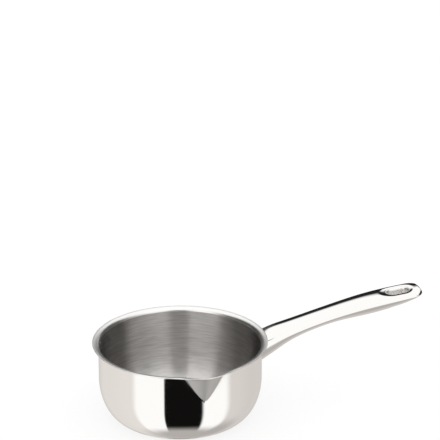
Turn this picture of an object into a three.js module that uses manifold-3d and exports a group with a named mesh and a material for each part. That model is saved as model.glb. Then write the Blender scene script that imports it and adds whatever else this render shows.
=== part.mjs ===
// A small polished saucepan with a pouring spout and a hollow welded handle.
// Millimetres, +Z up. The origin is the middle of the base's underside, the handle runs along +X
// and the spout points along -Y.
import * as THREE from "three";
import Module from "manifold-3d";
import { mergeVertices } from "three/addons/utils/BufferGeometryUtils.js";

const wasm = await Module();
wasm.setup();

// Pan body: one drawn sheet with a floor, a rounded belly, a straight wall and a flared rim.
const panInnerRadius = 70;
const panSheet = 0.8;
const panHeight = 69;
const bellyHeight = 36.3;
const footRadius = 48.6;
const rimOverhang = 4.8;
const rimFlareHeight = 3.4;

// Spout: a V pressed out of the wall, deepest at the lip. The lip swings out to its tip over a wider arc.
const spoutDepth = 10.2;
const spoutHalfWidth = 17.8;
const spoutDrop = 25.6;
const spoutNoseRound = 0.45;
const spoutFootRound = 0.27;
const lipTipReach = 5.4;
const lipHalfArc = 24;

// Capsule base: an aluminium disc between the pan's floor and a pressed steel cap.
const baseHeight = 4.5;
const capSheet = 0.6;

// Hollow handle: two stamped shells welded along their sides.
const handleLength = 152.5;
const handleRise = 35.8;
const handleWidth = 28.5;
const rootDepth = 25.4;
const handleSheet = 1;
const rootBelowLip = 16.6;
const sectionPower = 2.4;
const noseLength = 26;
const cornerRadius = 9.5;

// The handle's form from the wall to the tip: shares of its length, its rise, its width and the root's depth.
const handleForm = [
  { name: "root", along: 0, rise: 0, width: 0.877, depth: 1 },
  { name: "throat", along: 0.09, rise: 0.179, width: 0.877, depth: 0.886 },
  { name: "neck", along: 0.185, rise: 0.345, width: 0.877, depth: 0.65 },
  { name: "waist", along: 0.315, rise: 0.514, width: 0.87, depth: 0.488 },
  { name: "grip", along: 0.5, rise: 0.684, width: 0.905, depth: 0.48 },
  { name: "palm", along: 0.695, rise: 0.802, width: 0.968, depth: 0.598 },
  { name: "eye", along: 0.87, rise: 0.912, width: 1, depth: 0.551 },
  { name: "tip", along: 1, rise: 1, width: 1, depth: 0.535 },
];

// Hanging slot: lined by an oval sleeve, in a shallow dish that runs out towards the pan.
const slotWidth = 9.5;
const slotLength = 18;
const slotFromTip = 21;
const sleeveSheet = 0.9;
const dishDepth = 1.6;
const dishMargin = 5.5;
const dishMarginAtTip = 7.7;
const dishMarginAtPan = 14;

// Root plate: closes the handle's mouth and is welded to the wall.
const rootPlateThickness = 1.5;

// Clearances
const weldGap = 0.3;

// Facets
const bodyColumns = 72;
const columnCrowding = 0.7;
const baseColumns = 64;
const bellySteps = 7;
const wallSteps = 7;
const flareSteps = 4;
const capSteps = 3;
const sectionPoints = 24;
const handleRows = 30;
const noseRows = 8;
const slotArcSteps = 8;

// Sizes that follow from those above
const panOuterRadius = panInnerRadius + panSheet;
const lipEdgeRound = panSheet / 2;
const lipRadius = panOuterRadius + rimOverhang + lipEdgeRound;
const flareFoot = panHeight - panSheet - rimFlareHeight;
const rootMiddle = panHeight - rootBelowLip;
const handleTip = panOuterRadius + handleLength;
const slotMiddle = handleTip - slotFromTip;
const cutReach = handleWidth + rootDepth;

// Solids

// A geometry with its shared corners merged and its collapsed triangles dropped.
function welded(geometry) {
  const bare = new THREE.BufferGeometry();
  bare.setAttribute("position", geometry.getAttribute("position"));
  if (geometry.index) bare.setIndex(geometry.index);
  const merged = mergeVertices(bare, 1e-3);
  const corners = merged.index.array;
  const kept = [];
  for (let i = 0; i < corners.length; i += 3) {
    const [a, b, c] = [corners[i], corners[i + 1], corners[i + 2]];
    if (a !== b && b !== c && c !== a) kept.push(a, b, c);
  }
  merged.setIndex(kept);
  return merged;
}

function solidFrom(geometry) {
  const merged = welded(geometry);
  const mesh = new wasm.Mesh({
    numProp: 3,
    vertProperties: new Float32Array(merged.getAttribute("position").array),
    triVerts: new Uint32Array(merged.index.array),
  });
  return new wasm.Manifold(mesh);
}

function geometryFrom(solid) {
  const mesh = solid.getMesh();
  const geometry = new THREE.BufferGeometry();
  geometry.setAttribute("position", new THREE.BufferAttribute(mesh.vertProperties, mesh.numProp));
  geometry.setIndex(new THREE.BufferAttribute(mesh.triVerts, 1));
  geometry.computeVertexNormals();
  return geometry;
}

// A profile of radius and height turned about the Z axis.
function turned(profile, columns) {
  return new THREE.LatheGeometry(profile, columns).rotateX(Math.PI / 2);
}

// Pan profile

// A stretch of the belly's ellipse, inset by a thickness, between two heights.
function bellyArc(inset, fromHeight, toHeight, steps) {
  const across = panOuterRadius - footRadius - inset;
  const up = bellyHeight - inset;
  const turnAt = (height) => Math.acos(THREE.MathUtils.clamp((bellyHeight - height) / up, 0, 1));
  const start = turnAt(fromHeight);
  const end = turnAt(toHeight);
  return Array.from({ length: steps + 1 }, (_, i) => {
    const turn = THREE.MathUtils.lerp(start, end, i / steps);
    return new THREE.Vector2(footRadius + across * Math.sin(turn), bellyHeight - up * Math.cos(turn));
  });
}

// The straight wall on one side of the sheet, in even steps over the height of the spout.
function wallLine(wallRadius) {
  const foot = Math.max(bellyHeight, panHeight - spoutDrop);
  return Array.from({ length: wallSteps }, (_, i) => {
    return new THREE.Vector2(wallRadius, THREE.MathUtils.lerp(foot, flareFoot, i / wallSteps));
  });
}

// The rim's flare on one side of the sheet, from the wall out to the lip.
function flareArc(wallRadius, footHeight) {
  const reach = panOuterRadius + rimOverhang - wallRadius;
  return Array.from({ length: flareSteps + 1 }, (_, i) => {
    const turn = (i / flareSteps) * (Math.PI / 2);
    return new THREE.Vector2(
      wallRadius + reach * (1 - Math.cos(turn)),
      footHeight + rimFlareHeight * Math.sin(turn),
    );
  });
}

// Spout

// Falls from 1 on the centre line to 0 at the crease, straight but for its rounded nose.
function roundedV(across) {
  if (across >= 1) return 0;
  const soft = (value) => Math.hypot(value, spoutNoseRound);
  return (soft(1) - soft(across)) / (soft(1) - soft(0));
}

// How far the wall is pressed out at an angle from the spout's centre line and a height.
function spoutPush(angle, height) {
  const share = THREE.MathUtils.clamp((height - panHeight + spoutDrop) / spoutDrop, 0, 1);
  if (share === 0) return 0;
  const halfWidth = spoutHalfWidth * THREE.MathUtils.lerp(share, Math.sqrt(share), spoutFootRound);
  return spoutDepth * share * roundedV((Math.abs(angle) * panOuterRadius) / halfWidth);
}

// How much of the rim's overhang is left at an angle from the spout's centre line.
function overhangShare(angle) {
  const across = Math.min(1, Math.abs(angle) / THREE.MathUtils.degToRad(lipHalfArc));
  const lip = lipRadius + lipTipReach * roundedV(across) ** 2;
  const wall = panOuterRadius + spoutPush(angle, panHeight);
  return (lip - wall) / (lipRadius - panOuterRadius);
}

// The triangles of a grid turned from the spout's centre line all the way round. Each cell is cut along
// the diagonal that runs with the spout's creases, which differs between the two flanks and the two sides.
function creasedFaces(profileLength, outsideLength) {
  const corners = [];
  for (let i = 0; i < bodyColumns; i++) {
    const pastHalfTurn = i >= bodyColumns / 2;
    for (let j = 0; j + 1 < profileLength; j++) {
      const a = i * profileLength + j;
      const b = a + profileLength;
      const c = b + 1;
      const d = a + 1;
      const onOutside = j < outsideLength;
      if (pastHalfTurn === onOutside) corners.push(a, b, d, c, d, b);
      else corners.push(a, b, c, a, c, d);
    }
  }
  return corners;
}

// Pieces

// The turned body, with its columns crowded towards the spout and then pressed out there.
function panBody() {
  const outside = [
    new THREE.Vector2(0, baseHeight),
    ...bellyArc(0, baseHeight, bellyHeight, bellySteps),
    ...wallLine(panOuterRadius),
    ...flareArc(panOuterRadius, flareFoot),
    new THREE.Vector2(lipRadius, panHeight - lipEdgeRound),
  ];
  const inside = [
    ...flareArc(panInnerRadius, flareFoot + panSheet).reverse(),
    ...wallLine(panInnerRadius).reverse(),
    ...bellyArc(panSheet, baseHeight + panSheet, bellyHeight, bellySteps).reverse(),
    new THREE.Vector2(0, baseHeight + panSheet),
  ];
  const profile = [...outside, ...inside];
  const geometry = turned(profile, bodyColumns);
  geometry.setIndex(creasedFaces(profile.length, outside.length));
  const position = geometry.getAttribute("position");
  for (let i = 0; i < position.count; i++) {
    const onOutside = i % profile.length < outside.length;
    const wallRadius = onOutside ? panOuterRadius : panInnerRadius;
    const radius = Math.hypot(position.getX(i), position.getY(i));
    const height = position.getZ(i);
    const evenAngle = Math.atan2(position.getX(i), -position.getY(i));
    const angle = evenAngle - columnCrowding * Math.sin(evenAngle);
    const overhang = Math.max(0, radius - wallRadius) * overhangShare(angle);
    const pressed = Math.min(radius, wallRadius) + overhang + spoutPush(angle, height);
    position.setXYZ(i, pressed * Math.sin(angle), -pressed * Math.cos(angle), height);
  }
  return welded(geometry);
}

// The cap's outside carries the belly's curve down to the flat foot.
function baseCap() {
  const capTop = baseHeight - weldGap;
  const profile = [
    new THREE.Vector2(0, 0),
    ...bellyArc(0, 0, capTop, capSteps),
    ...bellyArc(capSheet, capSheet, capTop, capSteps).reverse(),
    new THREE.Vector2(0, capSheet),
  ];
  return welded(turned(profile, baseColumns));
}

// The disc fills the cap up to the floor, with a gap at its edge.
function heatSpreaderDisc() {
  const edge = bellyArc(capSheet, capSheet, baseHeight, capSteps);
  const profile = [
    new THREE.Vector2(0, capSheet),
    ...edge.map((point) => new THREE.Vector2(point.x - weldGap, point.y)),
    new THREE.Vector2(0, baseHeight),
  ];
  return welded(turned(profile, baseColumns));
}

// Handle form

const formCurve = (share) =>
  new THREE.SplineCurve(handleForm.map((station) => new THREE.Vector2(station.along, station[share])));
const riseCurve = formCurve("rise");
const widthCurve = formCurve("width");
const depthCurve = formCurve("depth");

// The spline's parameter at a share of the handle's length, found by halving.
function formParameter(along) {
  let low = 0;
  let high = 1;
  for (let i = 0; i < 40; i++) {
    const middle = (low + high) / 2;
    if (riseCurve.getPoint(middle).x < along) low = middle;
    else high = middle;
  }
  return (low + high) / 2;
}

// The handle's section at a distance from the pan's axis: its middle height and half sizes.
function formAt(reach) {
  const along = THREE.MathUtils.clamp((reach - panOuterRadius) / handleLength, 0, 1);
  const parameter = formParameter(along);
  return {
    middle: rootMiddle + handleRise * riseCurve.getPoint(parameter).y,
    halfWidth: (handleWidth / 2) * widthCurve.getPoint(parameter).y,
    halfHeight: (rootDepth / 2) * depthCurve.getPoint(parameter).y,
  };
}

// A quarter ellipse's height at a distance before its end.
function roundedEnd(before, length) {
  const past = THREE.MathUtils.clamp(1 - before / length, 0, 1);
  return Math.sqrt(1 - past * past);
}

// How far the dish around the slot lowers the handle's top.
function dishAt(reach, across) {
  const halfWidth = slotWidth / 2;
  const straight = (slotLength - slotWidth) / 2;
  const offset = reach - slotMiddle;
  const endMargin = offset > 0 ? dishMarginAtTip : dishMarginAtPan;
  const stretch = (halfWidth + endMargin) / (halfWidth + dishMargin);
  const distance = Math.hypot(Math.max(0, Math.abs(offset) - straight) / stretch, across);
  const share = THREE.MathUtils.clamp((halfWidth + dishMargin - distance) / dishMargin, 0, 1);
  return dishDepth * (1 - (1 - share) ** 2);
}

// The closed form of the handle, inset by a thickness, from inside the wall to the tip.
function handleLoft(inset) {
  const start = panOuterRadius - panSheet * 4;
  const end = handleTip - inset;
  const noseStart = handleTip - noseLength;
  const reaches = [];
  for (let i = 0; i < handleRows; i++) reaches.push(THREE.MathUtils.lerp(start, noseStart, i / handleRows));
  for (let i = 0; i <= noseRows; i++) {
    reaches.push(noseStart + (end - noseStart) * Math.sin(((i / noseRows) * Math.PI) / 2));
  }
  const positions = [];
  for (const reach of reaches) {
    const form = formAt(reach);
    const cornerLoss = (cornerRadius - inset) * (1 - roundedEnd(end - reach, cornerRadius - inset));
    const halfWidth = form.halfWidth - inset - cornerLoss;
    const halfHeight = (form.halfHeight - inset) * roundedEnd(end - reach, end - noseStart);
    for (let j = 0; j < sectionPoints; j++) {
      const turn = (j / sectionPoints) * 2 * Math.PI;
      const bulge = (value) => Math.sign(value) * Math.abs(value) ** (2 / sectionPower);
      const across = halfWidth * bulge(Math.cos(turn));
      const up = halfHeight * bulge(Math.sin(turn));
      const lowered = up > 0 ? Math.min(up, dishAt(reach, across)) : 0;
      positions.push(reach, across, form.middle + up - lowered);
    }
  }
  const first = formAt(start);
  positions.push(start, 0, first.middle);
  const startMiddle = reaches.length * sectionPoints;
  const corners = [];
  for (let j = 0; j < sectionPoints; j++) {
    const next = (j + 1) % sectionPoints;
    corners.push(startMiddle, next, j);
    for (let i = 0; i + 1 < reaches.length; i++) {
      const here = i * sectionPoints;
      const there = here + sectionPoints;
      corners.push(here + j, here + next, there + next);
      corners.push(here + j, there + next, there + j);
    }
  }
  const geometry = new THREE.BufferGeometry();
  geometry.setAttribute("position", new THREE.Float32BufferAttribute(positions, 3));
  geometry.setIndex(corners);
  return solidFrom(geometry);
}

// A solid round the pan's axis that trims the handle's root to the wall.
function wallCylinder(radius) {
  const cylinder = new THREE.CylinderGeometry(radius, radius, panHeight, bodyColumns);
  return solidFrom(cylinder.rotateX(Math.PI / 2).translate(0, 0, panHeight / 2));
}

// An oval column through the hanging slot, larger than the slot by an outset.
function slotColumn(outset) {
  const radius = slotWidth / 2 + outset;
  const straight = (slotLength - slotWidth) / 2;
  const oval = new THREE.Shape();
  oval.absarc(slotMiddle + straight, 0, radius, -Math.PI / 2, Math.PI / 2);
  oval.absarc(slotMiddle - straight, 0, radius, Math.PI / 2, Math.PI * 1.5);
  const column = new THREE.ExtrudeGeometry(oval, {
    depth: cutReach * 2,
    bevelEnabled: false,
    curveSegments: slotArcSteps,
  });
  return solidFrom(column.translate(0, 0, formAt(slotMiddle).middle - cutReach));
}

// The space above the seam between the two shells, or below it, with the weld's gap between them.
function besideSeam(side) {
  const shape = new THREE.Shape();
  const start = panInnerRadius - cutReach;
  const end = handleTip + cutReach;
  const seamAt = (reach) => formAt(reach).middle + (side * weldGap) / 2;
  shape.moveTo(start, rootMiddle + side * (panHeight + cutReach));
  for (let i = 0; i <= handleRows; i++) {
    const reach = THREE.MathUtils.lerp(panInnerRadius, handleTip, i / handleRows);
    if (i === 0) shape.lineTo(start, seamAt(reach));
    shape.lineTo(reach, seamAt(reach));
    if (i === handleRows) shape.lineTo(end, seamAt(reach));
  }
  shape.lineTo(end, rootMiddle + side * (panHeight + cutReach));
  const block = new THREE.ExtrudeGeometry(shape, { depth: cutReach * 2, bevelEnabled: false });
  return solidFrom(block.rotateX(Math.PI / 2).translate(0, cutReach, 0));
}

const handleOutside = handleLoft(0);
const wallFace = wallCylinder(panOuterRadius + weldGap);

function handleShell(side) {
  return handleOutside
    .subtract(handleLoft(handleSheet))
    .subtract(wallFace)
    .subtract(slotColumn(sleeveSheet + weldGap))
    .intersect(besideSeam(side));
}

function hangingSlotSleeve() {
  return slotColumn(sleeveSheet).subtract(slotColumn(0)).intersect(handleOutside);
}

function handleRootPlate() {
  return wallCylinder(panOuterRadius + weldGap + rootPlateThickness)
    .subtract(wallFace)
    .intersect(handleLoft(handleSheet + weldGap));
}

// Finishes
const mirrorSteel = new THREE.MeshStandardMaterial({ color: 0xd9d8d5, metalness: 1, roughness: 0.08 });
const satinSteel = new THREE.MeshStandardMaterial({ color: 0xc9c8c4, metalness: 1, roughness: 0.35 });
const plainAluminium = new THREE.MeshStandardMaterial({ color: 0xb9bbbd, metalness: 1, roughness: 0.5 });

// Assembly
const saucepan = new THREE.Group();

function place(name, geometry, material) {
  const piece = new THREE.Mesh(geometry, material);
  piece.name = name;
  saucepan.add(piece);
}

place("pan_body", panBody(), mirrorSteel);
place("heat_spreader_disc", heatSpreaderDisc(), plainAluminium);
place("base_cap", baseCap(), satinSteel);
place("handle_upper_shell", geometryFrom(handleShell(1)), mirrorSteel);
place("handle_lower_shell", geometryFrom(handleShell(-1)), mirrorSteel);
place("hanging_slot_sleeve", geometryFrom(hangingSlotSleeve()), mirrorSteel);
place("handle_root_plate", geometryFrom(handleRootPlate()), satinSteel);

export default saucepan;
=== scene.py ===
"""A small polished saucepan with a pressed spout and a hollow welded handle. Metres, +Z up."""
import math

import bpy
import numpy as np
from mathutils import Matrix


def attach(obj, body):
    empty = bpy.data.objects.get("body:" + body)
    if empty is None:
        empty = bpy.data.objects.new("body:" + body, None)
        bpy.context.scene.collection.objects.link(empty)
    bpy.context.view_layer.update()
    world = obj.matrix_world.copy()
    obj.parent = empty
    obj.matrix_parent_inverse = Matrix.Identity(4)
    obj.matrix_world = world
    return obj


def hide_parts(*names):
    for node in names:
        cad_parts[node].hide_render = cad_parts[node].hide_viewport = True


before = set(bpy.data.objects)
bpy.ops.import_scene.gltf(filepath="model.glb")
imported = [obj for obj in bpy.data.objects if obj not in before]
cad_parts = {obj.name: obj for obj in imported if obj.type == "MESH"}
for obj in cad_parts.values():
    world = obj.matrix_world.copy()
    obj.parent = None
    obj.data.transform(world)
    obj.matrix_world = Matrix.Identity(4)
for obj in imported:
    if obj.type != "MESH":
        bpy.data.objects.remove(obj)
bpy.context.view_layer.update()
scene = bpy.context.scene
scene.view_settings.view_transform = "Standard"

# Camera
# It stands two metres off with a long lens, above the rim and to the left of the spout's direction.
# It looks past the pan, which leaves the pan low in the picture and its handle inside the right edge.
camera_distance = 2.0
camera_rise = math.radians(25.295)
camera_side = math.radians(17.2)
look_down = math.radians(21.401)
look_left = math.radians(-1.093)
aim_height = 0.035
picture_width = 440
focal_pixels = 2293.0
sensor_width = 36.0

camera_data = bpy.data.cameras.new("camera")
camera_data.sensor_width = sensor_width
camera_data.lens = sensor_width * focal_pixels / picture_width
camera = bpy.data.objects.new("camera", camera_data)
level = camera_distance * math.cos(camera_rise)
camera.location = (
    -level * math.sin(camera_side),
    -level * math.cos(camera_side),
    aim_height + camera_distance * math.sin(camera_rise),
)
camera.rotation_euler = (math.pi / 2 - look_down, 0, look_left - camera_side)
scene.collection.objects.link(camera)
scene.camera = camera

# Pan body
# One sheet of stainless steel, drawn to a floor, a rounded belly and a straight wall, and flared at the rim.
# The spout is pressed out of the wall afterwards, which leaves its face a little rougher, and its face's
# colour is darkened there as painted shade.
# The outside is mirror-polished, the rim is satin and the inside is brushed round.
mm = 0.001
inner_radius = 70 * mm
sheet = 0.8 * mm
pan_height = 69 * mm
belly_height = 36.3 * mm
foot_radius = 48.6 * mm
rim_overhang = 4.73 * mm
flare_height = 3.4 * mm
base_height = 4.5 * mm
outer_radius = inner_radius + sheet
lip_round = sheet / 2
lip_radius = outer_radius + rim_overhang + lip_round
flare_foot = pan_height - sheet - flare_height
spout_depth = 10.2 * mm
spout_half_width = 17.8 * mm
spout_drop = 25.6 * mm
spout_foot = pan_height - spout_drop
spout_nose_round = 1.1
spout_foot_round = 0.42
spout_crease_round = 0.06
press_mark = 0.08 * mm
lip_tip_reach = 5.28 * mm
lip_half_arc = math.radians(24)
least_width = 0.001 * mm


def belly_arc(inset, from_height, to_height, steps):
    """Radius and height along the belly's ellipse, inset by a thickness."""
    across = outer_radius - foot_radius - inset
    up = belly_height - inset
    ends = [math.acos(min(1, max(0, (belly_height - height) / up))) for height in (from_height, to_height)]
    turns = np.linspace(ends[0], ends[1], steps + 1)
    return np.column_stack([foot_radius + across * np.sin(turns), belly_height - up * np.cos(turns)])


def straight(start, end, steps):
    """Points on a straight line, without its first one."""
    return np.linspace(start, end, steps + 1)[1:]


def flare_arc(wall_radius, foot_height, steps):
    """Radius and height along the rim's flare on one side of the sheet, without its first point."""
    reach = outer_radius + rim_overhang - wall_radius
    turns = np.linspace(0, math.pi / 2, steps + 1)[1:]
    radii = wall_radius + reach * (1 - np.cos(turns))
    return np.column_stack([radii, foot_height + flare_height * np.sin(turns)])


def turned_mesh(name, profile, turns, rim_from, inside_from):
    """A closed mesh of a profile turned about Z. Its points keep their radius, height and turn."""
    columns = len(turns)
    rings = len(profile) - 2
    points = [(0.0, 0.0, profile[0][1])]
    facts = [(0.0, profile[0][1], 0.0)]
    for radius, height in profile[1:-1]:
        for turn in turns:
            points.append((radius * math.sin(turn), -radius * math.cos(turn), height))
            facts.append((radius, height, turn))
    points.append((0.0, 0.0, profile[-1][1]))
    facts.append((0.0, profile[-1][1], 0.0))
    last = len(points) - 1
    faces = []
    uvs = []
    rings_of_faces = []
    path = np.concatenate([[0], np.cumsum(np.hypot(*np.diff(np.asarray(profile), axis=0).T))])
    for column in range(columns):
        following = (column + 1) % columns
        left = column / columns
        right = (column + 1) / columns
        faces.append((0, 1 + following, 1 + column))
        uvs += [(left, path[0]), (right, path[1]), (left, path[1])]
        rings_of_faces.append(0)
        for ring in range(rings - 1):
            here = 1 + ring * columns
            above = here + columns
            low, high = path[ring + 1], path[ring + 2]
            faces.append((here + column, here + following, above + following, above + column))
            uvs += [(left, low), (right, low), (right, high), (left, high)]
            rings_of_faces.append(ring + 1)
        top = 1 + (rings - 1) * columns
        faces.append((top + column, top + following, last))
        uvs += [(left, path[-2]), (right, path[-2]), (left, path[-1])]
        rings_of_faces.append(rings)
    mesh = bpy.data.meshes.new(name)
    mesh.from_pydata(points, [], faces)
    layer = mesh.uv_layers.new(name="brush")
    layer.data.foreach_set("uv", np.asarray(uvs, dtype=np.float32).ravel())
    for index, key in enumerate(("radius", "height", "turn")):
        values = mesh.attributes.new(key, "FLOAT", "POINT")
        values.data.foreach_set("value", np.asarray([fact[index] for fact in facts], dtype=np.float32))
    rings_of_faces = np.asarray(rings_of_faces)
    inside = rings_of_faces >= inside_from
    for key, chosen in (("inside", inside), ("rim", (rings_of_faces >= rim_from) & ~inside)):
        flags = mesh.attributes.new(key, "BOOLEAN", "FACE")
        flags.data.foreach_set("value", chosen)
    mesh.polygons.foreach_set("use_smooth", [True] * len(mesh.polygons))
    return mesh


def feed(tree, socket, value):
    """Sets a socket to a number or a colour, or links another socket to it."""
    if isinstance(value, (int, float)):
        socket.default_value = value
    elif isinstance(value, tuple):
        socket.default_value = (*value, 1)
    else:
        tree.links.new(value, socket)


def calc(tree, operation, *values):
    """A math node fed with sockets or plain numbers."""
    node = tree.nodes.new("ShaderNodeMath")
    node.operation = operation
    for socket, value in zip(node.inputs, values):
        feed(tree, socket, value)
    return node.outputs[0]


def place_of(tree, x, y, z):
    """A vector made of three numbers."""
    node = tree.nodes.new("ShaderNodeCombineXYZ")
    for socket, value in zip(node.inputs, (x, y, z)):
        feed(tree, socket, value)
    return node.outputs[0]


def named(tree, name, kind="FLOAT"):
    """An attribute that is stored on the mesh."""
    node = tree.nodes.new("GeometryNodeInputNamedAttribute")
    node.data_type = kind
    node.inputs["Name"].default_value = name
    return node.outputs["Attribute"]


def falling_v(tree, across):
    """Falls from 1 on the spout's centre line to 0 at its crease, with a rounded nose and crease."""
    squared = calc(tree, "MULTIPLY", across, across)
    soft = calc(tree, "SQRT", calc(tree, "ADD", squared, spout_nose_round ** 2))
    edge = math.hypot(1, spout_nose_round)
    fall = calc(tree, "DIVIDE", calc(tree, "SUBTRACT", edge, soft), edge - spout_nose_round)
    bend = calc(tree, "SQRT", calc(tree, "ADD", calc(tree, "MULTIPLY", fall, fall), spout_crease_round ** 2))
    return calc(tree, "MULTIPLY", calc(tree, "ADD", fall, bend), 0.5)


def pressing_tree():
    """Geometry nodes that press the spout into a turned pan and swing its lip out to a tip."""
    tree = bpy.data.node_groups.new("pressed_spout", "GeometryNodeTree")
    sizes = {
        "Spout Depth": spout_depth,
        "Spout Half Width": spout_half_width,
        "Spout Drop": spout_drop,
        "Foot Round": spout_foot_round,
        "Pan Height": pan_height,
        "Wall Radius": outer_radius,
        "Lip Radius": lip_radius,
        "Lip Reach": lip_tip_reach,
        "Lip Half Arc": lip_half_arc,
    }
    tree.interface.new_socket("Geometry", in_out="INPUT", socket_type="NodeSocketGeometry")
    for name, size in sizes.items():
        socket = tree.interface.new_socket(name, in_out="INPUT", socket_type="NodeSocketFloat")
        socket.default_value = size
    for name in ("Outside", "Rim", "Inside"):
        tree.interface.new_socket(name, in_out="INPUT", socket_type="NodeSocketMaterial")
    tree.interface.new_socket("Geometry", in_out="OUTPUT", socket_type="NodeSocketGeometry")
    given = tree.nodes.new("NodeGroupInput").outputs
    radius = named(tree, "radius")
    height = named(tree, "height")
    turn = named(tree, "turn")
    around = calc(tree, "ABSOLUTE", turn)
    sideways = calc(tree, "MULTIPLY", around, given["Wall Radius"])

    # How far the wall is pressed out: a V that widens and deepens up to the lip.
    below_lip = calc(tree, "SUBTRACT", height, given["Pan Height"])
    above_foot = calc(tree, "ADD", below_lip, given["Spout Drop"])
    climb = calc(tree, "DIVIDE", above_foot, given["Spout Drop"])
    share = calc(tree, "MINIMUM", 1.0, calc(tree, "MAXIMUM", 0.0, climb))
    bulge = calc(tree, "SUBTRACT", calc(tree, "SQRT", share), share)
    rounder = calc(tree, "MULTIPLY", bulge, given["Foot Round"])
    width = calc(tree, "MULTIPLY", given["Spout Half Width"], calc(tree, "ADD", share, rounder))
    v_here = falling_v(tree, calc(tree, "DIVIDE", sideways, calc(tree, "MAXIMUM", width, least_width)))
    push = calc(tree, "MULTIPLY", calc(tree, "MULTIPLY", given["Spout Depth"], share), v_here)

    # How much of the flare's overhang is left where the lip swings out.
    v_wall = falling_v(tree, calc(tree, "DIVIDE", sideways, given["Spout Half Width"]))
    wall = calc(tree, "MULTIPLY_ADD", given["Spout Depth"], v_wall, given["Wall Radius"])
    v_lip = falling_v(tree, calc(tree, "DIVIDE", around, given["Lip Half Arc"]))
    swing = calc(tree, "MULTIPLY", v_lip, v_lip)
    lip = calc(tree, "MULTIPLY_ADD", given["Lip Reach"], swing, given["Lip Radius"])
    overhang = calc(tree, "SUBTRACT", given["Lip Radius"], given["Wall Radius"])
    left_over = calc(tree, "DIVIDE", calc(tree, "SUBTRACT", lip, wall), overhang)
    sheet_inside = calc(tree, "MULTIPLY", named(tree, "inner_side"), sheet)
    side_radius = calc(tree, "SUBTRACT", given["Wall Radius"], sheet_inside)
    beyond = calc(tree, "MAXIMUM", 0.0, calc(tree, "SUBTRACT", radius, side_radius))
    plain = calc(tree, "MINIMUM", radius, side_radius)
    pressed = calc(tree, "ADD", calc(tree, "MULTIPLY_ADD", beyond, left_over, plain), push)

    # How far the press has dulled the sheet, kept for its rougher finish and for a painted shade that darkens
    # its colour.
    marked = tree.nodes.new("GeometryNodeStoreNamedAttribute")
    marked.inputs["Name"].default_value = "dull_and_shade"
    tree.links.new(given["Geometry"], marked.inputs["Geometry"])
    tree.links.new(calc(tree, "MINIMUM", 1.0, calc(tree, "DIVIDE", push, press_mark)), marked.inputs["Value"])

    x = calc(tree, "MULTIPLY", pressed, calc(tree, "SINE", turn))
    y = calc(tree, "MULTIPLY", calc(tree, "MULTIPLY", pressed, -1.0), calc(tree, "COSINE", turn))
    moved = tree.nodes.new("GeometryNodeSetPosition")
    tree.links.new(marked.outputs["Geometry"], moved.inputs["Geometry"])
    tree.links.new(place_of(tree, x, y, height), moved.inputs["Position"])
    real = tree.nodes.new("GeometryNodeRealizeInstances")
    tree.links.new(moved.outputs[0], real.inputs[0])
    finished = real.outputs[0]
    for name, chosen in (("Outside", None), ("Rim", "rim"), ("Inside", "inside")):
        finish = tree.nodes.new("GeometryNodeSetMaterial")
        tree.links.new(finished, finish.inputs["Geometry"])
        tree.links.new(given[name], finish.inputs["Material"])
        if chosen:
            tree.links.new(named(tree, chosen, "BOOLEAN"), finish.inputs["Selection"])
        finished = finish.outputs[0]
    result = tree.nodes.new("NodeGroupOutput")
    tree.links.new(finished, result.inputs[0])
    return tree


def steel(name, colour):
    """A metal material with its shader and its tree."""
    material = bpy.data.materials.new(name)
    material.use_nodes = True
    shader = material.node_tree.nodes["Principled BSDF"]
    shader.inputs["Base Color"].default_value = (*colour, 1)
    shader.inputs["Metallic"].default_value = 1
    return material, shader, material.node_tree


def object_place(tree):
    """Where a point lies on the object."""
    return tree.nodes.new("ShaderNodeTexCoord").outputs["Object"]


def parts_of(tree, vector):
    """A vector's X, Y and Z."""
    node = tree.nodes.new("ShaderNodeSeparateXYZ")
    tree.links.new(vector, node.inputs[0])
    return node.outputs


def grain(tree, place, fineness, detail=2.0):
    """A noise over a place."""
    node = tree.nodes.new("ShaderNodeTexNoise")
    node.inputs["Scale"].default_value = fineness
    node.inputs["Detail"].default_value = detail
    tree.links.new(place, node.inputs["Vector"])
    return node.outputs[0]


def round_lines(tree, fineness, length, detail=4.0):
    """A noise drawn out into fine lines that run round the pan's axis."""
    x, y, z = parts_of(tree, object_place(tree))
    squares = calc(tree, "ADD", calc(tree, "MULTIPLY", x, x), calc(tree, "MULTIPLY", y, y))
    reach = calc(tree, "SQRT", squares)
    least_reach = 0.01 * mm
    far = calc(tree, "MAXIMUM", reach, least_reach)
    along_x = calc(tree, "MULTIPLY", calc(tree, "DIVIDE", x, far), length)
    along_y = calc(tree, "MULTIPLY", calc(tree, "DIVIDE", y, far), length)
    line = calc(tree, "MULTIPLY", calc(tree, "SUBTRACT", z, reach), fineness)
    return grain(tree, place_of(tree, along_x, along_y, line), 1.0, detail)


def ranged(tree, value, from_low, from_high, low, high):
    """A value moved from one range to another."""
    node = tree.nodes.new("ShaderNodeMapRange")
    node.inputs["From Min"].default_value = from_low
    node.inputs["From Max"].default_value = from_high
    node.inputs["To Min"].default_value = low
    node.inputs["To Max"].default_value = high
    tree.links.new(value, node.inputs["Value"])
    return node.outputs[0]


noise_middle = (0.3, 0.7)


def spread(tree, noise, low, high):
    """The middle of a noise stretched to a range of values."""
    return ranged(tree, noise, *noise_middle, low, high)


def mixed(tree, factor, first, second):
    """A colour that goes from the first to the second as the factor goes from 0 to 1."""
    node = tree.nodes.new("ShaderNodeMix")
    node.data_type = "RGBA"
    feed(tree, node.inputs["Factor"], factor)
    feed(tree, node.inputs[6], first)
    feed(tree, node.inputs[7], second)
    return node.outputs[2]


def bumped(tree, shader, value, strength, depth):
    """Fine relief from a noise."""
    bump = tree.nodes.new("ShaderNodeBump")
    bump.inputs["Strength"].default_value = strength
    bump.inputs["Distance"].default_value = depth
    tree.links.new(value, bump.inputs["Height"])
    tree.links.new(bump.outputs[0], shader.inputs["Normal"])


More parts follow.
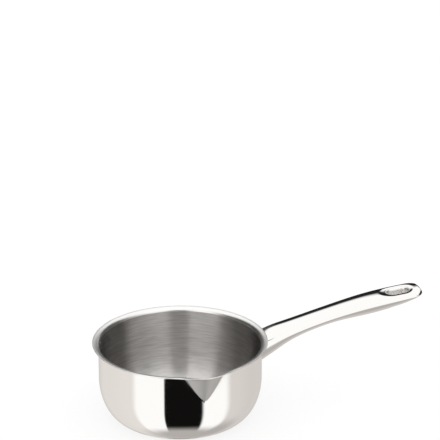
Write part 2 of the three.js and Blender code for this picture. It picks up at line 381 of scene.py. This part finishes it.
mirror_colour = (0.82, 0.81, 0.79)
mirror_roughness = (0.035, 0.07)
# The darker colour of the pressed spout is painted shade; its higher roughness is a real duller finish.
pressed_shade_colour = (0.66, 0.65, 0.63)
dulled_roughness = 0.6
polished_steel, polished_shader, polished_tree = steel("polished_pan_steel", mirror_colour)
polish_lines = round_lines(polished_tree, 2600, 5)
dull_and_shade = polished_tree.nodes.new("ShaderNodeAttribute")
dull_and_shade.attribute_name = "dull_and_shade"
dull_and_shade_share = dull_and_shade.outputs["Fac"]
polish = spread(polished_tree, polish_lines, *mirror_roughness)
polish = calc(polished_tree, "MULTIPLY_ADD", dull_and_shade_share, dulled_roughness, polish)
# Painted shade: the base colour darkens from the mirror colour towards the darker one where the spout is
# pressed.
polish_and_painted_shade = mixed(polished_tree, dull_and_shade_share, mirror_colour, pressed_shade_colour)
polished_tree.links.new(polish_and_painted_shade, polished_shader.inputs["Base Color"])
polished_tree.links.new(polish, polished_shader.inputs["Roughness"])

rim_colour = (0.86, 0.85, 0.83)
rim_roughness = (0.28, 0.36)
rim_steel, rim_shader, rim_tree = steel("satin_rim_steel", rim_colour)
rim_lines = round_lines(rim_tree, 2600, 4)
rim_tree.links.new(spread(rim_tree, rim_lines, *rim_roughness), rim_shader.inputs["Roughness"])
bumped(rim_tree, rim_shader, rim_lines, 0.1, 0.05 * mm)

brush_dark = (0.575, 0.56, 0.545)
brush_light = (0.765, 0.745, 0.725)
brush_edge = (0.0, 0.0, 0.0)
brush_roughness = (0.33, 0.47)
worn_height = 40 * mm
worn_share = 0.75
satin_steel, satin_shader, satin_tree = steel("satin_inside_steel", brush_dark)
satin_shader.inputs["Specular Tint"].default_value = (*brush_edge, 1)
satin_shader.inputs["Anisotropic"].default_value = 1.0
satin_shader.inputs["Anisotropic Rotation"].default_value = 0.25
brush_tangent = satin_tree.nodes.new("ShaderNodeTangent")
brush_tangent.direction_type = "UV_MAP"
brush_tangent.uv_map = "brush"
satin_tree.links.new(brush_tangent.outputs[0], satin_shader.inputs["Tangent"])
brush_lines = round_lines(satin_tree, 750, 4, 3.0)
brush_tone = mixed(satin_tree, spread(satin_tree, brush_lines, 0, 1), brush_dark, brush_light)
satin_tree.links.new(brush_tone, satin_shader.inputs["Base Color"])
satin_height = parts_of(satin_tree, object_place(satin_tree))[2]
worn = ranged(satin_tree, satin_height, base_height, worn_height, worn_share, 1.0)
brushed = spread(satin_tree, brush_lines, *brush_roughness)
brushed = calc(satin_tree, "MULTIPLY", brushed, worn)
satin_tree.links.new(brushed, satin_shader.inputs["Roughness"])
bumped(satin_tree, satin_shader, brush_lines, 0.1, 0.06 * mm)

belly_steps = 40
wall_steps = 4
spout_steps = 40
flare_steps = 14
floor_steps = 6
lip_steps = 8
rim_below_lip = 3
floor_height = base_height + sheet
floor_ring = 40 * mm
edge_turns = np.linspace(-math.pi / 2, math.pi / 2, lip_steps + 1)[1:-1]
lip_edge = np.column_stack([
    outer_radius + rim_overhang + lip_round * np.cos(edge_turns),
    pan_height - lip_round + lip_round * np.sin(edge_turns),
])
outside_profile = np.vstack([
    [[0, base_height]],
    belly_arc(0, base_height, belly_height, belly_steps),
    straight((outer_radius, belly_height), (outer_radius, spout_foot), wall_steps),
    straight((outer_radius, spout_foot), (outer_radius, flare_foot), spout_steps),
    flare_arc(outer_radius, flare_foot, flare_steps),
    lip_edge,
])
belly_inside = belly_arc(sheet, floor_height, belly_height, belly_steps)
inside_profile = np.vstack([
    [[0, floor_height]],
    straight((0, floor_height), (floor_ring, floor_height), floor_steps),
    straight((floor_ring, floor_height), belly_inside[0], floor_steps),
    belly_inside[1:],
    straight((inner_radius, belly_height), (inner_radius, spout_foot), wall_steps),
    straight((inner_radius, spout_foot), (inner_radius, flare_foot + sheet), spout_steps),
    flare_arc(inner_radius, flare_foot + sheet, flare_steps),
])[::-1]
pan_profile = np.vstack([outside_profile, inside_profile])
rim_start = len(outside_profile) - len(lip_edge) - rim_below_lip
inside_start = len(outside_profile) + flare_steps
pan_columns = 400
crowding = 0.72
even_turns = (np.arange(pan_columns) / pan_columns - 0.5) * 2 * math.pi
pan_turns = even_turns - crowding * np.sin(even_turns)
pan_blank = turned_mesh("pan_blank", pan_profile, pan_turns, rim_start, inside_start)
inner_rings = np.arange(1, len(pan_profile) - 1) >= len(outside_profile)
inner_flags = np.concatenate([[0.0], np.repeat(inner_rings, pan_columns), [1.0]])
inner_side = pan_blank.attributes.new("inner_side", "FLOAT", "POINT")
inner_side.data.foreach_set("value", inner_flags.astype(np.float32))
blank = bpy.data.objects.new("pan_blank", pan_blank)
scene.collection.objects.link(blank)
press = blank.modifiers.new("press", "NODES")
press.node_group = pressing_tree()
pan_finishes = {"Outside": polished_steel, "Rim": rim_steel, "Inside": satin_steel}
for item in press.node_group.interface.items_tree:
    if item.in_out == "INPUT" and item.name in pan_finishes:
        press[item.identifier] = pan_finishes[item.name]


def settled(source, name):
    """A plain object from an object's evaluated shape; the source is removed."""
    graph = bpy.context.evaluated_depsgraph_get()
    evaluated = source.evaluated_get(graph)
    mesh = bpy.data.meshes.new_from_object(evaluated, preserve_all_data_layers=True, depsgraph=graph)
    bpy.data.objects.remove(source)
    mesh.name = name
    piece = bpy.data.objects.new(name, mesh)
    scene.collection.objects.link(piece)
    return piece


pan = settled(blank, "polished_pan")
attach(pan, "root")
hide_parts("pan_body")

# Heat spreader disc
# A plain aluminium disc under the pan's floor, which spreads the heat.
# It is brazed to the floor and closed in by the cap.
disc_colour = (0.72, 0.73, 0.74)
disc_roughness = (0.4, 0.6)
disc_aluminium, disc_shader, disc_tree = steel("disc_aluminium", disc_colour)
disc_lines = round_lines(disc_tree, 1500, 3)
disc_tree.links.new(spread(disc_tree, disc_lines, *disc_roughness), disc_shader.inputs["Roughness"])
bumped(disc_tree, disc_shader, disc_lines, 0.2, 0.1 * mm)


def dress(node, material):
    """Gives a CAD node that stays its finish."""
    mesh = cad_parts[node].data
    mesh.materials.clear()
    mesh.materials.append(material)


dress("heat_spreader_disc", disc_aluminium)

# Base cap
# A pressed dish of stainless steel that closes the disc in and carries the belly's curve to the flat foot.
# It is brazed on, polished with the pan round its edge, and turned in fine rings underneath.
cap_sheet = 0.6 * mm
weld_gap = 0.3 * mm
cap_top = base_height - weld_gap
cap_edge_round = 0.12 * mm
ring_height = 1 * mm
ring_roughness = 0.5
cap_polish = 0.06
cap_colour = (0.80, 0.79, 0.77)
cap_foot_steps = 12
cap_side_steps = 18
cap_inside_steps = 6
cap_profile = np.vstack([
    [[0, 0]],
    straight((0, 0), (foot_radius, 0), cap_foot_steps),
    belly_arc(0, 0, cap_top - cap_edge_round, cap_side_steps)[1:],
    belly_arc(cap_edge_round, cap_top, cap_top, 1)[:1],
    belly_arc(cap_sheet, cap_sheet, cap_top, cap_inside_steps)[::-1],
    [[0, cap_sheet]],
])
cap_columns = 240
cap_turns = np.arange(cap_columns) / cap_columns * 2 * math.pi
cap_mesh = turned_mesh("turned_base", cap_profile, cap_turns, len(cap_profile), len(cap_profile))
cap_steel, cap_shader, cap_tree = steel("turned_base_steel", cap_colour)
cap_height = parts_of(cap_tree, object_place(cap_tree))[2]
cap_height = calc(cap_tree, "MINIMUM", 1.0, calc(cap_tree, "MULTIPLY", cap_height, 1 / ring_height))
underneath = calc(cap_tree, "SUBTRACT", 1.0, cap_height)
cap_rings = calc(cap_tree, "MULTIPLY", round_lines(cap_tree, 3000, 2), underneath)
cap_roughness = calc(cap_tree, "MULTIPLY_ADD", cap_rings, ring_roughness, cap_polish)
cap_tree.links.new(cap_roughness, cap_shader.inputs["Roughness"])
bumped(cap_tree, cap_shader, cap_rings, 0.25, 0.1 * mm)
cap_mesh.materials.append(cap_steel)
cap = bpy.data.objects.new("turned_base", cap_mesh)
scene.collection.objects.link(cap)
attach(cap, "root")
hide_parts("base_cap")

# Handle root plate
# A curved plate of plain steel that closes the handle's mouth.
# It is projection-welded to the pan's wall, and the handle's shells are welded to it.
plate_colour = (0.60, 0.59, 0.57)
plate_roughness = (0.32, 0.5)
plate_steel, plate_shader, plate_tree = steel("mill_steel", plate_colour)
plate_grain = grain(plate_tree, object_place(plate_tree), 900)
plate_tree.links.new(spread(plate_tree, plate_grain, *plate_roughness), plate_shader.inputs["Roughness"])
bumped(plate_tree, plate_shader, plate_grain, 0.2, 0.1 * mm)
dress("handle_root_plate", plate_steel)

# Handle shells
# Two stamped halves of thin stainless steel, welded along their sides, ground flush and mirror-polished.
# The upper half is dished round the hanging slot, and the lower half runs down to a soft keel.
# Both reach the wall at the root, where they are welded on.
handle_length = 152.4 * mm
handle_width = 28.5 * mm
handle_sheet = 1.0 * mm
most_sheet = 0.45
root_drop = 16.6 * mm
root_middle = pan_height - root_drop
crown_power = 2.4
keel_power = 1.35
keel_nose = 26 * mm
crown_nose = 2.5 * mm
corner_radius = 9.5 * mm
root_gap = 0.05 * mm
root_blend = 15 * mm
handle_tip = outer_radius + handle_length
slot_width = 9.5 * mm
slot_length = 18 * mm
slot_from_tip = 21 * mm
slot_middle = handle_tip - slot_from_tip
slot_straight = (slot_length - slot_width) / 2
sleeve_sheet = 2.3 * mm
dish_depth = 0.9 * mm
dish_margin = 5 * mm
dish_margin_at_tip = 5 * mm
dish_margin_at_pan = 8 * mm
dish_edge_round = 0.15
side_columns = 36
grip_rows = 140
straight_rows = 8
end_rows = 16
nose_rows = 40
stations = np.array([0, 0.09, 0.185, 0.315, 0.5, 0.695, 0.87, 1])


def smooth_through(values):
    """A curve without kinks through one value at each station, as a function of the share of the length."""
    values = np.asarray(values, dtype=float)
    gaps = np.diff(stations)
    count = len(stations)
    system = np.eye(count)
    bends = np.zeros(count)
    for index in range(1, count - 1):
        before, after = gaps[index - 1], gaps[index]
        system[index, index - 1:index + 2] = before, 2 * (before + after), after
        rise_after = (values[index + 1] - values[index]) / after
        rise_before = (values[index] - values[index - 1]) / before
        bends[index] = 6 * (rise_after - rise_before)
    bends = np.linalg.solve(system, bends)

    def value_at(share):
        index = np.clip(np.searchsorted(stations, share) - 1, 0, count - 2)
        gap = gaps[index]
        done = share - stations[index]
        left = stations[index + 1] - share
        cubic = (bends[index] * left ** 3 + bends[index + 1] * done ** 3) / (6 * gap)
        start = (values[index] / gap - bends[index] * gap / 6) * left
        end = (values[index + 1] / gap - bends[index + 1] * gap / 6) * done
        return cubic + start + end

    return value_at


# Millimetres at each station from the wall to the tip, and the width as a share of the handle's width.
widest_rise = smooth_through([6.5, 10.8, 14.4, 19.4, 25.7, 31.0, 33.7, 35.3])
width_share = smooth_through([0.877, 0.877, 0.877, 0.87, 0.905, 0.968, 1, 1])
crown_depth = smooth_through([4.8, 5.9, 5.6, 4.7, 4.2, 4.0, 3.8, 3.6])
keel_depth = smooth_through([21.15, 17.7, 12.7, 9.9, 10.2, 12.8, 11.2, 9.6])


def rounded_end(reach, length):
    """Falls from 1 to 0 over the last stretch before the tip, as a rounded end does."""
    past = np.clip(1 - (handle_tip - reach) / length, 0, 1)
    return np.sqrt(np.maximum(0, 1 - past ** 2))


def handle_section(reach):
    """The handle at a distance from the pan's axis: its widest line's height, half width, crown and keel."""
    share = np.clip((reach - outer_radius) / handle_length, 0, 1)
    widest = root_middle + widest_rise(share) * mm
    corner = corner_radius * (1 - rounded_end(reach, corner_radius))
    half_width = handle_width / 2 * width_share(share) - corner
    crown = crown_depth(share) * mm * rounded_end(reach, crown_nose)
    keel = keel_depth(share) * mm * rounded_end(reach, keel_nose)
    return widest, half_width, crown, keel


def dish_at(reach, across):
    """How far the dish round the slot lowers the handle's top."""
    half_slot = slot_width / 2
    offset = reach - slot_middle
    end_margin = np.where(offset > 0, dish_margin_at_tip, dish_margin_at_pan)
    stretch = (half_slot + end_margin) / (half_slot + dish_margin)
    distance = np.hypot(np.maximum(0, np.abs(offset) - slot_straight) / stretch, across)
    share = (half_slot + dish_margin - distance) / dish_margin
    share = np.minimum(1, (share + np.sqrt(share ** 2 + dish_edge_round ** 2)) / 2)
    return dish_depth * (1 - (1 - share) ** 2)


def handle_surface(reach, turn):
    """Points on the handle's outside; the turn runs round the section from its left edge over the top."""
    widest, half_width, crown, keel = handle_section(reach)
    on_top = np.sin(turn) > 0
    power = np.where(on_top, crown_power, keel_power)
    across = half_width * np.sign(np.cos(turn)) * np.abs(np.cos(turn)) ** (2 / power)
    up = np.where(on_top, crown, -keel) * np.abs(np.sin(turn)) ** (2 / power)
    lowered = np.where(on_top, np.minimum(np.maximum(up, 0), dish_at(reach, across)), 0)
    return np.stack([reach, across, widest + up - lowered], axis=-1)


def handle_normals(reach, turn):
    """Outward directions on the handle's outside, from small steps along it and round it."""
    reach_step = 0.01 * mm
    turn_step = 0.002
    least_length = 1e-15
    ahead = np.minimum(reach + reach_step, handle_tip)
    along = handle_surface(ahead, turn) - handle_surface(reach - reach_step, turn)
    round_it = handle_surface(reach, turn + turn_step) - handle_surface(reach, turn - turn_step)
    outward = np.cross(round_it, along)
    length = np.linalg.norm(outward, axis=-1, keepdims=True)
    return outward / np.maximum(length, least_length)


hole_radius = slot_width / 2 + sleeve_sheet
hole_reach = slot_straight + hole_radius
least_hole = 0.0001 * mm
least_depth = 0.000001 * mm


def hole_half_width(reach):
    """Half the width of the hole that the slot's sleeve fills, which is 0 past its ends."""
    past = np.maximum(0, np.abs(reach - slot_middle) - slot_straight)
    half_width = np.sqrt(np.maximum(0, hole_radius ** 2 - past ** 2))
    return np.where(half_width < least_hole, 0, half_width)


quarter_turn = np.linspace(0, math.pi / 2, end_rows + 1)
nose_turn = np.linspace(0, math.pi / 2, nose_rows + 1)[1:]
hole_start = slot_middle - slot_straight
hole_end = slot_middle + slot_straight
past_hole = slot_middle + hole_reach
handle_rows = np.concatenate([
    np.linspace(outer_radius + root_gap, slot_middle - hole_reach, grip_rows)[:-1],
    hole_start - hole_radius * np.cos(quarter_turn),
    np.linspace(hole_start, hole_end, straight_rows + 1)[1:-1],
    hole_end + hole_radius * np.sin(quarter_turn),
    past_hole + (handle_tip - past_hole) * np.sin(nose_turn),
])


def closed_sheet(name, points, inner, normals, faces):
    """A thin sheet from its outside and inside points and its outward directions, with closed edges."""
    count = len(points)
    directed = {(face[k], face[(k + 1) % 4]) for face in faces for k in range(4)}
    edges = [edge for edge in directed if edge[::-1] not in directed]
    edges.sort()
    all_faces = list(faces)
    all_faces += [[count + corner for corner in face[::-1]] for face in faces]
    all_faces += [[end, start, count + start, count + end] for start, end in edges]
    mesh = bpy.data.meshes.new(name)
    mesh.from_pydata(np.vstack([points, inner]).tolist(), [], all_faces)
    mesh.polygons.foreach_set("use_smooth", [True] * (2 * len(faces)) + [False] * len(edges))
    loop_normals = [normals[corner] for face in faces for corner in face]
    loop_normals += [-normals[corner] for face in faces for corner in face[::-1]]
    loop_normals += [(0.0, 0.0, 0.0)] * (4 * len(edges))
    mesh.normals_split_custom_set([tuple(normal) for normal in loop_normals])
    return mesh


def handle_shell(name, half):
    """One half of the handle as a closed sheet: 1 is the upper half and -1 the lower."""
    widest, half_width, crown, keel = handle_section(handle_rows)
    power, depth = (crown_power, crown) if half > 0 else (keel_power, keel)
    hole = hole_half_width(handle_rows)
    last_turn = np.arccos(np.minimum(1, hole / half_width) ** (power / 2))
    turns = last_turn[:, None] * np.linspace(0, 1, side_columns + 1)[None, :]
    reaches = np.repeat(handle_rows[:, None], side_columns + 1, axis=1)
    sheet_across = np.minimum(most_sheet, handle_sheet / (half_width - hole))[:, None]
    sheet_up = np.minimum(most_sheet, handle_sheet / np.maximum(depth, least_depth))[:, None]
    wall = outer_radius + root_gap
    near_wall = np.clip(1 - (reaches - outer_radius) / root_blend, 0, 1) ** 2
    points = []
    inner = []
    normals = []
    faces = []
    numbers = {}
    for side in (1, -1):
        angles = half * (turns if side == 1 else math.pi - turns)
        places = handle_surface(reaches, angles)
        facing = handle_normals(reaches, angles)
        places[..., 0] += near_wall * (np.sqrt(wall ** 2 - places[..., 1] ** 2) - wall)
        inside = places.copy()
        inside[..., 1] -= sheet_across * (places[..., 1] - side * hole[:, None])
        inside[..., 2] -= sheet_up * (places[..., 2] - widest[:, None])
        for row in range(len(handle_rows)):
            for column in range(side_columns + 1):
                shared = side == -1 and column == side_columns and hole[row] == 0
                if shared:
                    numbers[side, row, column] = numbers[1, row, column]
                    continue
                numbers[side, row, column] = len(points)
                points.append(places[row, column])
                inner.append(inside[row, column])
                normals.append(facing[row, column])
        for row in range(len(handle_rows) - 1):
            for column in range(side_columns):
                face = [
                    numbers[side, row, column],
                    numbers[side, row, column + 1],
                    numbers[side, row + 1, column + 1],
                    numbers[side, row + 1, column],
                ]
                faces.append(face if side * half > 0 else face[::-1])
    return closed_sheet(name, points, inner, normals, faces)


handle_line_stretch = (25, 1800, 1800)
handle_steel, handle_shader, handle_tree = steel("polished_handle_steel", mirror_colour)
handle_stretch = handle_tree.nodes.new("ShaderNodeMapping")
handle_stretch.inputs["Scale"].default_value = handle_line_stretch
handle_tree.links.new(object_place(handle_tree), handle_stretch.inputs["Vector"])
handle_lines = grain(handle_tree, handle_stretch.outputs[0], 1.0, 4.0)
handle_polish = spread(handle_tree, handle_lines, *mirror_roughness)
handle_tree.links.new(handle_polish, handle_shader.inputs["Roughness"])

for shell_name, shell_node, shell_half in (
    ("lower_handle_shell", "handle_lower_shell", -1),
    ("upper_handle_shell", "handle_upper_shell", 1),
):
    shell_mesh = handle_shell(shell_name, shell_half)
    shell_mesh.materials.append(handle_steel)
    shell = bpy.data.objects.new(shell_name, shell_mesh)
    scene.collection.objects.link(shell)
    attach(shell, "root")
    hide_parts(shell_node)

# Hanging slot sleeve
# A short oval tube of stainless steel that lines the slot and closes the hollow handle there.
# It is rolled over at the top and the bottom, welded to both shells and left satin.
sleeve_points = 96
sleeve_edge_round = 2.2 * mm
sleeve_roll_steps = 6
sleeve_colour = (0.91, 0.9, 0.88)
sleeve_roughness = (0.35, 0.5)
sleeve_arc = np.linspace(-math.pi / 2, math.pi / 2, sleeve_points // 2)


def sleeve_loop(outset, half):
    """A loop of the sleeve at a distance outside the slot's edge, on the handle's upper or lower face."""
    radius = slot_width / 2 + outset
    ahead = np.column_stack([slot_straight + radius * np.cos(sleeve_arc), radius * np.sin(sleeve_arc)])
    oval = np.vstack([ahead, -ahead])
    reach = slot_middle + oval[:, 0]
    across = oval[:, 1]
    _, half_width, _, _ = handle_section(reach)
    power = crown_power if half > 0 else keel_power
    turn = np.arccos((np.abs(across) / half_width) ** (power / 2))
    height = handle_surface(reach, half * turn)[:, 2]
    inwards = max(0.0, sleeve_edge_round - outset)
    fall = sleeve_edge_round - math.sqrt(sleeve_edge_round ** 2 - inwards ** 2)
    return np.column_stack([reach, across, height - half * fall])


sleeve_steel, sleeve_shader, sleeve_tree = steel("satin_sleeve_steel", sleeve_colour)
sleeve_grain = grain(sleeve_tree, object_place(sleeve_tree), 2500)
sleeve_satin = spread(sleeve_tree, sleeve_grain, *sleeve_roughness)
sleeve_tree.links.new(sleeve_satin, sleeve_shader.inputs["Roughness"])
sleeve_outsets = sleeve_edge_round * (1 - np.cos(np.linspace(0, math.pi / 2, sleeve_roll_steps + 1)))
sleeve_outsets = np.append(sleeve_outsets, sleeve_sheet)
sleeve_loops = [sleeve_loop(outset, 1) for outset in sleeve_outsets[::-1]]
sleeve_loops += [sleeve_loop(outset, -1) for outset in sleeve_outsets]
sleeve_faces = []
for loop in range(len(sleeve_loops)):
    here = loop * sleeve_points
    there = (loop + 1) % len(sleeve_loops) * sleeve_points
    for point in range(sleeve_points):
        following = (point + 1) % sleeve_points
        sleeve_faces.append((here + point, here + following, there + following, there + point))
sleeve_mesh = bpy.data.meshes.new("slot_sleeve")
sleeve_mesh.from_pydata(np.vstack(sleeve_loops).tolist(), [], sleeve_faces)
sleeve_mesh.polygons.foreach_set("use_smooth", [True] * len(sleeve_faces))
sleeve_mesh.materials.append(sleeve_steel)
sleeve = bpy.data.objects.new("slot_sleeve", sleeve_mesh)
scene.collection.objects.link(sleeve)
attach(sleeve, "root")
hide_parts("hanging_slot_sleeve")

# Stage
# A white floor keeps the pan's soft shadow, isn't mirrored by the steel and is clear from below.
# Round it are soft panels that only the steel mirrors: the camera and matt surfaces see plain white.
# Bearings go from the camera's direction to its right, and rises go up from the level, in degrees.
floor_reach = 3.0
floor_glow = 0.8
floor_matt = 0.22
floor_corners = [(x * floor_reach, y * floor_reach, 0) for x, y in ((-1, -1), (1, -1), (1, 1), (-1, 1))]
floor_mesh = bpy.data.meshes.new("floor")
floor_mesh.from_pydata(floor_corners, [], [(0, 1, 2, 3)])
floor = bpy.data.objects.new("floor", floor_mesh)
scene.collection.objects.link(floor)
floor.visible_glossy = False
floor_material = bpy.data.materials.new("white_floor")
floor_material.use_nodes = True
floor_tree = floor_material.node_tree
floor_tree.nodes.clear()
glow = floor_tree.nodes.new("ShaderNodeEmission")
glow.inputs["Strength"].default_value = floor_glow
matt = floor_tree.nodes.new("ShaderNodeBsdfDiffuse")
matt.inputs["Color"].default_value = (floor_matt, floor_matt, floor_matt, 1)
both = floor_tree.nodes.new("ShaderNodeAddShader")
floor_tree.links.new(glow.outputs[0], both.inputs[0])
floor_tree.links.new(matt.outputs[0], both.inputs[1])
clear = floor_tree.nodes.new("ShaderNodeBsdfTransparent")
from_below = floor_tree.nodes.new("ShaderNodeNewGeometry").outputs["Backfacing"]
sided = floor_tree.nodes.new("ShaderNodeMixShader")
floor_tree.links.new(from_below, sided.inputs["Fac"])
floor_tree.links.new(both.outputs[0], sided.inputs[1])
floor_tree.links.new(clear.outputs[0], sided.inputs[2])
floor_out = floor_tree.nodes.new("ShaderNodeOutputMaterial")
floor_tree.links.new(sided.outputs[0], floor_out.inputs["Surface"])
floor_mesh.materials.append(floor_material)

world = bpy.data.worlds.new("studio")
scene.world = world
world.use_nodes = True
sky = world.node_tree
sky.nodes.clear()
turned = sky.nodes.new("ShaderNodeVectorRotate")
turned.rotation_type = "Z_AXIS"
turned.inputs["Angle"].default_value = camera_side
sky.links.new(sky.nodes.new("ShaderNodeTexCoord").outputs["Generated"], turned.inputs["Vector"])
rightwards, away, upwards = parts_of(sky, turned.outputs[0])
towards_camera = calc(sky, "MULTIPLY", away, -1.0)


def turn_share(sideways, forwards):
    """A bearing as a share of a full turn, with straight ahead at its middle."""
    angle = calc(sky, "ARCTAN2", sideways, forwards)
    return calc(sky, "ADD", calc(sky, "DIVIDE", angle, 2 * math.pi), 0.5)


def eased(position, stops):
    """A colour that eases from stop to stop; each stop is a share and a colour."""
    ramp = sky.nodes.new("ShaderNodeValToRGB")
    ramp.color_ramp.interpolation = "EASE"
    elements = ramp.color_ramp.elements
    while len(elements) > 1:
        elements.remove(elements[0])
    for index, (share, colour) in enumerate(stops):
        element = elements[0] if index == 0 else elements.new(share)
        element.position = share
        element.color = (*colour, 1)
    sky.links.new(position, ramp.inputs[0])
    return ramp.outputs["Color"]


def panels_round(position, stops, warmth=(1, 1, 1)):
    """Panels round the pan: each stop is a bearing and a grey. Greys below white take the warmth."""
    colours = []
    for degrees, grey in stops:
        shade = warmth if grey < 1 else (1, 1, 1)
        colours.append((0.5 + degrees / 360, [grey * part for part in shade]))
    return eased(position, colours)


def edge_round(position, stops):
    """An edge that goes up and down round the pan: each stop is a bearing and an angle of rise."""
    return panels_round(position, [(degrees, angle / 180) for degrees, angle in stops])


def from_to(rise_share, low, high):
    """Goes from 0 to 1 as a rise goes from a low angle to a high one."""
    return eased(rise_share, [(0.5 + low / 180, (0, 0, 0)), (0.5 + high / 180, (1, 1, 1))])


white_panel = 1.2
left_panel = 1.35
right_panel_end = (0.7, 0.6)
back_panels = (0.1, 0.5)
dark_room = 0.02
dark_gap = 0.006
# A painted shadow: the grey that the steel mirrors on the table close to the pan's foot stands for the pan's
# own shadow there.
floor_shadow_grey = (0.53, 0.505, 0.485)
table_warmth = (1.03, 0.98, 0.945)
fan_shift = 0.25

# The table's panels fan out from a point behind the pan, so the gap between them widens close to it.
bearing = turn_share(rightwards, towards_camera)
depth_below = calc(sky, "MULTIPLY", calc(sky, "MINIMUM", upwards, 0.0), -fan_shift)
fan = turn_share(rightwards, calc(sky, "ADD", towards_camera, depth_below))
rise = calc(sky, "ADD", calc(sky, "DIVIDE", calc(sky, "ARCSINE", upwards), math.pi), 0.5)
table = panels_round(fan, [
    (-180, 0.62), (-124, 0.86), (-67.5, 0.91), (-57, white_panel), (-21.2, white_panel),
    (-19.9, dark_gap), (26.4, dark_gap),
    (30.9, white_panel), (59, white_panel), (71.4, 0.79), (124, 0.72), (180, 0.62),
], table_warmth)
# The painted shadow's edge: how far below the level the mirrored table stays grey at each bearing, reaching
# further to the right and the back.
floor_shadow_edge = edge_round(fan, [
    (-180, 60), (-90, 68), (-55, 71), (-25, 71), (-18, 66.5),
    (27, 66.5), (50, 66), (74, 54), (95, 52), (180, 60),
])
walls = panels_round(bearing, [
    (-180, dark_room), (-173, dark_room), (-166, back_panels[0]), (-150, back_panels[0]), (-140, dark_room),
    (-63, dark_room), (-54, left_panel), (-15, left_panel), (-11, dark_room),
    (13, dark_room), (18, white_panel), (42, white_panel),
    (56, right_panel_end[0]), (74, right_panel_end[1]), (83, dark_room),
    (140, dark_room), (150, back_panels[1]), (158, back_panels[1]), (165, dark_room),
])
roof_edge = edge_round(bearing, [
    (-180, 27), (-164, 27), (-150, 36), (-138, 44), (-96, 50), (-62, 46), (-20, 36), (-9, 46),
    (9, 46), (20, 36), (92, 40), (98, 48), (138, 46), (150, 38), (164, 27),
])
# Goes from the painted shadow near the pan's foot out to the table's panels.
past_floor_shadow = from_to(calc(sky, "ADD", rise, floor_shadow_edge), -9.5, 9.5)
beyond_table = from_to(rise, -18, -8)
above_walls = from_to(calc(sky, "SUBTRACT", rise, roof_edge), -3, 3)
room = mixed(sky, above_walls, walls, (white_panel, white_panel, white_panel))
mirrored = mixed(sky, beyond_table, mixed(sky, past_floor_shadow, floor_shadow_grey, table), room)
seen = sky.nodes.new("ShaderNodeLightPath")
plain_ray = calc(sky, "MAXIMUM", seen.outputs["Is Camera Ray"], seen.outputs["Is Diffuse Ray"])
background = sky.nodes.new("ShaderNodeBackground")
sky.links.new(mixed(sky, plain_ray, mirrored, (1, 1, 1)), background.inputs["Color"])
sky_out = sky.nodes.new("ShaderNodeOutputWorld")
sky.links.new(background.outputs[0], sky_out.inputs["Surface"])
